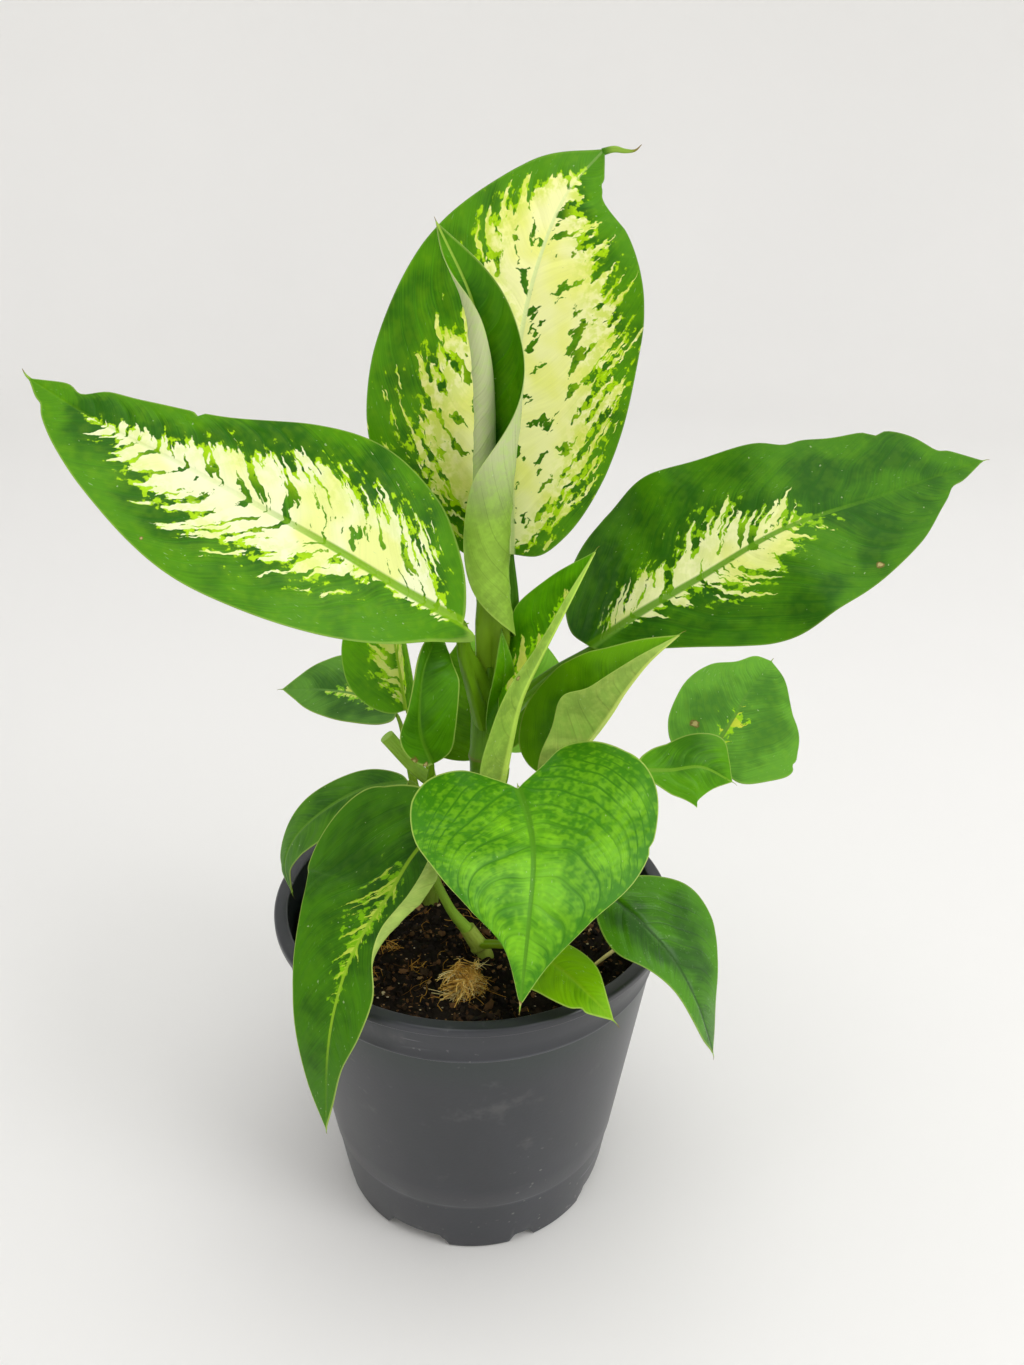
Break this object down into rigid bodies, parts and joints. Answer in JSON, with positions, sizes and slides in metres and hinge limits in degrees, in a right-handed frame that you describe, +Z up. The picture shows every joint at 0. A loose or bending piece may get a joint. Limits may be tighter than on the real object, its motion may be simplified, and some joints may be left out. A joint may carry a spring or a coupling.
{
  "type": "potted dieffenbachia",
  "caption": "Young dieffenbachia with cream-variegated pointed leaves on green stems, growing in potting mix in a round dark nursery pot.",
  "frame": {"origin": "middle of the bottom face of the whole object's bounding box, on the surface that the pot stands on; the pot's own centre is 13.5 mm to -X and 7.0 mm to +Y of it", "axes": "+Z up, the way the plant grows; the plant's front, with the heart-shaped leaf, faces -Y; +X is to the viewer's right from the front"},
  "size_m": [0.2456, 0.1348, 0.3095],
  "materials": {
    "pot_plastic": "moulded dark blue-grey nursery-pot plastic with a dull sheen, faint scratches and dust",
    "potting_mix": "damp dark brown peat and bark crumbs with reddish flakes, tan fibres and a few pale grains",
    "coconut_fibre": "matted golden-tan plant fibre",
    "stem_green": "smooth fleshy green stem with paler and browner patches",
    "cut_petiole_green": "pale green leaf stalk with a dry cut end",
    "leaf_variegated": "satin green leaf with a dark margin zone and a feathered cream centre",
    "leaf_rolled": "satin new leaf, still rolled, with its pale underside outside",
    "leaf_marbled": "satin mid-green leaf with darker cross veins, bright patches between them and a pale edge",
    "leaf_dark": "glossy deep green leaf with faint veins and a pale edge",
    "leaf_light": "satin light green leaf with yellow-green flecks along its veins"
  },
  "bodies": {
    "root": {"pot": "pot_plastic", "potting_mix": "potting_mix", "fibre_tuft": "coconut_fibre", "main_stem": "stem_green", "front_shoot": "stem_green", "left_shoot": "stem_green", "right_shoot": "stem_green", "back_shoot": "stem_green", "cut_petiole": "cut_petiole_green", "crown_leaf_back": "leaf_variegated", "crown_leaf_left": "leaf_variegated", "crown_leaf_right": "leaf_variegated", "rolled_new_leaf": "leaf_rolled", "front_heart_leaf": "leaf_marbled", "left_drooping_leaf": "leaf_marbled", "left_rear_drooping_leaf": "leaf_dark", "right_drooping_leaf": "leaf_dark", "right_small_leaf": "leaf_light", "left_spotted_leaf": "leaf_variegated", "far_left_leaf": "leaf_dark", "left_upright_leaf": "leaf_dark", "centre_folded_leaf": "leaf_variegated", "right_folded_leaf": "leaf_dark", "far_right_leaf": "leaf_light", "right_folded_small_leaf": "leaf_light", "back_pale_leaf": "leaf_light", "back_dark_leaf": "leaf_dark"}
  },
  "joints": []
}
